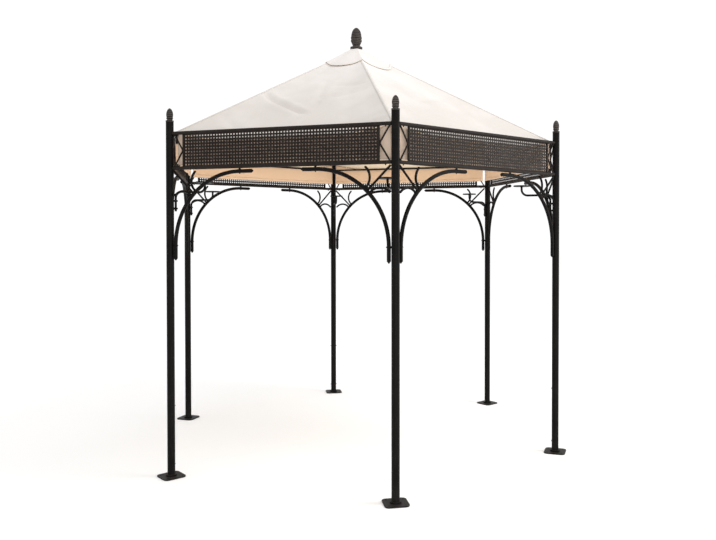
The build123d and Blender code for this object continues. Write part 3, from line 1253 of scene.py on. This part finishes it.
@dataclass
class VentCap:
    """Small cloth cap over the vent, with a hem that bellies out between the hips."""

    finishes: Finishes
    shape: RoofShape
    top_radius: float = 0.045
    top_height: float = 2.9315
    corner_radius: float = 0.284
    corner_lift: float = 0.006
    middle_lifts: tuple[float, ...] = (0.006, 0.006, 0.006, 0.006, 0.008, 0.003)
    bellies: tuple[float, ...] = (0.315, 0.315, 0.315, 0.318, 0.301, 0.322)
    belly_power: float = 2.2
    swell: float = 0.004
    patch: float = 0.31
    patch_edge: float = 0.03
    patch_height: float = 0.0012
    hem_shares: tuple[float, float] = (0.94, 1.003)
    hem_lift: float = 0.0019
    hem_rows: int = 4
    hem_seam: float = 0.955
    hem_seam_lift: float = 0.0016
    patch_seam_lift: float = 0.0002
    seam_points: int = 40
    seam_way: Point = (0.0, -0.5, 0.86)
    weave_size: tuple[float, float] = (0.15, 0.33)
    weave_step: float = 0.7
    columns: int = 28
    rows: int = 44
    thickness: float = 0.0016

    def build(self) -> None:
        """Make the cap with its hem and stitches."""
        # The cap's underside and its cut edge get the peach finish: painted backlight through the
        # cloth.
        cloth, backlit_underside = self.finishes.cloth, self.finishes.backlit_underside
        sheet = self.ring("vent_cap_sheet", 0.0, 1.0, self.rows, 0.0)
        made = settle(sheet.build(cloth, backlit_underside), Slot.CLOTH)
        band = self.ring("vent_cap_hem", *self.hem_shares, self.hem_rows, self.hem_lift)
        hem = settle(band.build(cloth, cloth), Slot.CLOTH)
        rows = Stitches("vent_cap_stitches")
        u = np.linspace(-1.0, 1.0, self.seam_points)
        seams = ((self.hem_seam, self.hem_seam_lift),
                 (self.patch - self.patch_edge, self.patch_seam_lift))
        for bay in range(BAYS):
            for share, lift in seams:
                path = self.surface(bay, u, np.full_like(u, share), lift)
                rows.add(path, np.tile(in_bay(bay, self.seam_way, 0.0), (len(u), 1)))
        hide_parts("vent_cap")
        rows.build(self.finishes.thread)

    def ring(self, name: str, start: float, end: float, rows: int, lift: float) -> Cloth:
        """Lay out a band of the cap all the way round.

        Args:
            name: Name of the piece.
            start: Share from the top where the band starts.
            end: Share where it ends.
            rows: Rows of the grid.
            lift: Distance above the cap.

        Returns:
            The band.
        """
        u, t = np.meshgrid(np.linspace(-1.0, 1.0, self.columns, endpoint=False),
                           np.linspace(start, end, rows))
        grid = around(lambda bay: self.surface(bay, u, t, lift))
        wide, long = self.weave_size
        weave = around(lambda bay: np.stack([u * t * wide + self.weave_step * bay, t * long],
                                            axis=-1))
        # The cap's own edge takes the peach underside finish: a painted glow of light through the
        # cloth.
        return Cloth(name, grid, weave, self.thickness, closed=True, backlit_edge=not lift)

    def surface(self, bay: int, u: Array, t: Array, lift: float = 0.0) -> Array:
        """Points of the cap's upper side.

        Args:
            bay: Number of the bay.
            u: Places from hip to hip.
            t: Shares from the top to the hem.
            lift: Distance above the cap.

        Returns:
            Places.
        """
        shape, lean = self.shape, math.tan(SECTOR / 2)
        corner = self.corner_radius * math.cos(SECTOR / 2)
        top = self.top_radius * math.cos(SECTOR / 2)
        belly = 1.0 - np.abs(u) ** self.belly_power
        reach = corner + (self.bellies[bay] - corner) * belly
        side = u * corner * lean
        share = reach / shape.apothem
        below = shape.gore(np.clip(side / (share * shape.half_span), -1.0, 1.0), share)[..., 2]
        hem = below + self.corner_lift + (self.middle_lifts[bay] - self.corner_lift) * belly
        x = top + (reach - top) * t
        y = u * top * lean * (1.0 - t) + side * t
        z = self.top_height + (hem - self.top_height) * t
        uneven = 1.0 + 0.4 * np.sin(3.0 * u + 2.0 * bay)
        swell = self.swell * np.sin(np.pi * np.clip(t, 0.0, 1.0)) * (1.0 - u * u) * uneven
        patch = self.patch_height * (1.0 - smooth((t - self.patch) / self.patch_edge))
        return turned(np.stack([x, y, z + swell + lift + patch], axis=-1), (bay + 0.5) * SECTOR)


@dataclass
class Valance:
    """Six flaps that hang inside the frieze, with slack waves towards their hemmed lower edge.

    Each of the waves has its rate along the eave, its phase from bay to bay and its share.
    """

    finishes: Finishes
    shape: RoofShape
    inset: float = 0.0012
    bottoms: tuple[float, ...] = (1.995, 1.995, 1.995, 1.993, 1.968, 1.970)
    top_gap: float = 0.004
    slit: float = 0.02
    wave: float = 0.006
    wave_power: float = 1.3
    waves: tuple[Point, ...] = ((17.0, 1.0, 0.6), (7.0, 2.2, 0.4))
    lean: float = 0.6
    weave_step: float = 3.0
    weave_drop: float = 0.13
    hem: float = 0.022
    seam_share: float = 0.82
    seam_lift: float = 0.0002
    back_seam_lift: float = 0.0014
    hem_thickness: float = 0.0009
    hem_gap: float = 0.0003
    columns: int = 90
    rows: int = 22
    hem_rows: int = 5
    thickness: float = 0.0014

    def build(self) -> None:
        """Make the flaps with their hems and stitches."""
        flaps, hems, rows = [], [], Stitches("valance_stitches")
        # Painted light on the flaps and hems: painted shade and backlight outside, painted
        # backlight inside.
        outside, inside = self.finishes.flap, self.finishes.valance
        share = (self.shape.half_span - self.slit) / self.shape.half_span
        across = np.linspace(-share, share, self.columns)
        u, t = np.meshgrid(across, np.linspace(0.0, 1.0, self.rows))
        for bay in range(BAYS):
            fold_share = self.hem / (self.shape.eave_height - self.bottoms[bay])
            low_u, low_t = np.meshgrid(across, np.linspace(1.0 - fold_share, 1.0, self.hem_rows))
            line = np.full_like(across, 1.0 - self.seam_share * fold_share)
            flap = Cloth(f"flap_{bay}", self.surface(bay, u, t), self.weave(bay, u, t),
                         self.thickness)
            flaps.append(flap.build(outside, inside))
            behind = self.surface(bay, low_u, low_t, -self.thickness - self.hem_gap)
            fold = Cloth(f"fold_{bay}", behind, self.weave(bay, low_u, low_t), self.hem_thickness)
            hems.append(fold.build(inside, inside))
            out = np.tile(in_bay(bay, (0.0, -1.0, 0.0), 0.0), (self.columns, 1))
            rows.add(self.surface(bay, across, line, self.seam_lift), out)
            rows.add(self.surface(bay, across, line, -self.thickness - self.back_seam_lift), -out)
        made = settle(join("valance_flaps", flaps), Slot.CLOTH)
        strips = settle(join("valance_hems", hems), Slot.CLOTH)
        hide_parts("valance")
        rows.build(self.finishes.thread)

    def surface(self, bay: int, u: Array, t: Array, lift: float = 0.0) -> Array:
        """Points of a flap's outer side.

        Args:
            bay: Number of the bay.
            u: Places from corner to corner.
            t: Shares from the top to the lower edge.
            lift: Distance outward.

        Returns:
            Places.
        """
        top = self.shape.eave(u) - self.top_gap
        along = u * self.shape.half_span
        slack = sum(np.sin(rate * along + phase * bay) * share for rate, phase, share in self.waves)
        wave = self.wave * t ** self.wave_power * slack
        depth = self.shape.apothem - self.inset - self.lean * self.wave * t + wave + lift
        return turned(np.stack([depth, along, top + (self.bottoms[bay] - top) * t], axis=-1),
                      (bay + 0.5) * SECTOR)

    def weave(self, bay: int, u: Array, t: Array) -> Array:
        """Flat places of a flap's cloth."""
        along = u * self.shape.half_span + self.weave_step * bay
        return np.stack([along, self.weave_drop * t], axis=-1)


@dataclass(frozen=True)
class Lamp:
    """One soft square light and the place that it is aimed at."""

    name: str
    place: Point
    aim: Point
    size: float
    power: float

    def build(self) -> None:
        """Add the light to the scene."""
        light = bpy.data.lights.new(self.name, "AREA")
        light.shape, light.size, light.energy = "SQUARE", self.size, self.power
        holder = bpy.data.objects.new(self.name, light)
        holder.location = self.place
        way = Vector(self.aim) - Vector(self.place)
        holder.rotation_euler = way.to_track_quat("-Z", "Y").to_euler()
        bpy.context.scene.collection.objects.link(holder)


@dataclass(frozen=True)
class Studio:
    """Pale floor, soft light and the photo's camera."""

    eye: Point = (2.1023, -5.3360, 1.5696)
    yaw: float = 0.3191
    pitch: float = -0.0159
    lens: float = 37.66
    sensor: float = 36.0
    shift: tuple[float, float] = (-0.0568, -0.0409)
    far: float = 300.0
    air: float = 1.05
    floor_half: float = 60.0
    floor_height: float = -0.001
    lamps: tuple[Lamp, ...] = (
        Lamp("key_light", (6.6, 0.2, 7.5), (0.0, 0.0, 1.8), 2.6, 250.0),
        Lamp("side_light", (7.6, 1.9, 2.3), (0.6, 0.0, 1.5), 2.2, 125.0),
        Lamp("low_fill", (3.6, -5.6, 0.25), (0.3, 0.0, 2.1), 3.6, 115.0),
    )

    def build(self) -> None:
        """Make the stage, the lights, the air and the camera."""
        corners = [(x * self.floor_half, y * self.floor_half, self.floor_height)
                   for x, y in ((-1, -1), (1, -1), (1, 1), (-1, 1))]
        add_mesh("studio_ground", corners, [(0, 1, 2, 3)], (PaleFloor().make(),))
        for lamp in self.lamps:
            lamp.build()
        scene = bpy.context.scene
        scene.view_settings.view_transform = "Standard"
        world = bpy.data.worlds.new("studio_air")
        world.use_nodes = True
        back = world.node_tree.nodes["Background"]
        back.inputs["Color"].default_value = (1.0, 1.0, 1.0, 1.0)
        back.inputs["Strength"].default_value = self.air
        scene.world = world
        camera = bpy.data.cameras.new("photo_camera")
        camera.lens, camera.sensor_width = self.lens, self.sensor
        camera.shift_x, camera.shift_y = self.shift
        camera.clip_end = self.far
        holder = bpy.data.objects.new("photo_camera", camera)
        holder.location = self.eye
        holder.rotation_euler = (math.pi / 2 + self.pitch, 0.0, self.yaw)
        scene.collection.objects.link(holder)
        scene.camera = holder


def dress_frame(frame: dict[str, object], finishes: Finishes) -> None:
    """Give every CAD node its finish.

    Args:
        finishes: Materials.
    """
    parts = {"lattice": finishes.lattice, "frieze": finishes.frieze, "canopy": finishes.cloth,
             "vent_cap": finishes.cloth, "valance": finishes.cloth,
             "post_finials": finishes.finial, "apex_finial": finishes.finial}
    for name, node in frame["nodes"].items():
        material = parts.get(name, parts.get(name.split("_")[0], finishes.frame))
        node.data.materials.clear()
        node.data.materials.append(material)


def main() -> None:
    """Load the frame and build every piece."""
    logging.basicConfig(level=logging.INFO, format="%(name)s: %(message)s")
    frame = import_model()
    finishes = Finishes()
    dress_frame(frame, finishes)
    shape = RoofShape()
    for roof in (Canopy, VentCap, Valance):
        roof(finishes, shape).build()
    lattice = Lattice(finishes)
    for bay in range(BAYS):
        lattice.build(bay)
    Fittings(finishes).build()
    Studio().build()


if __name__ == "__main__":
    main()
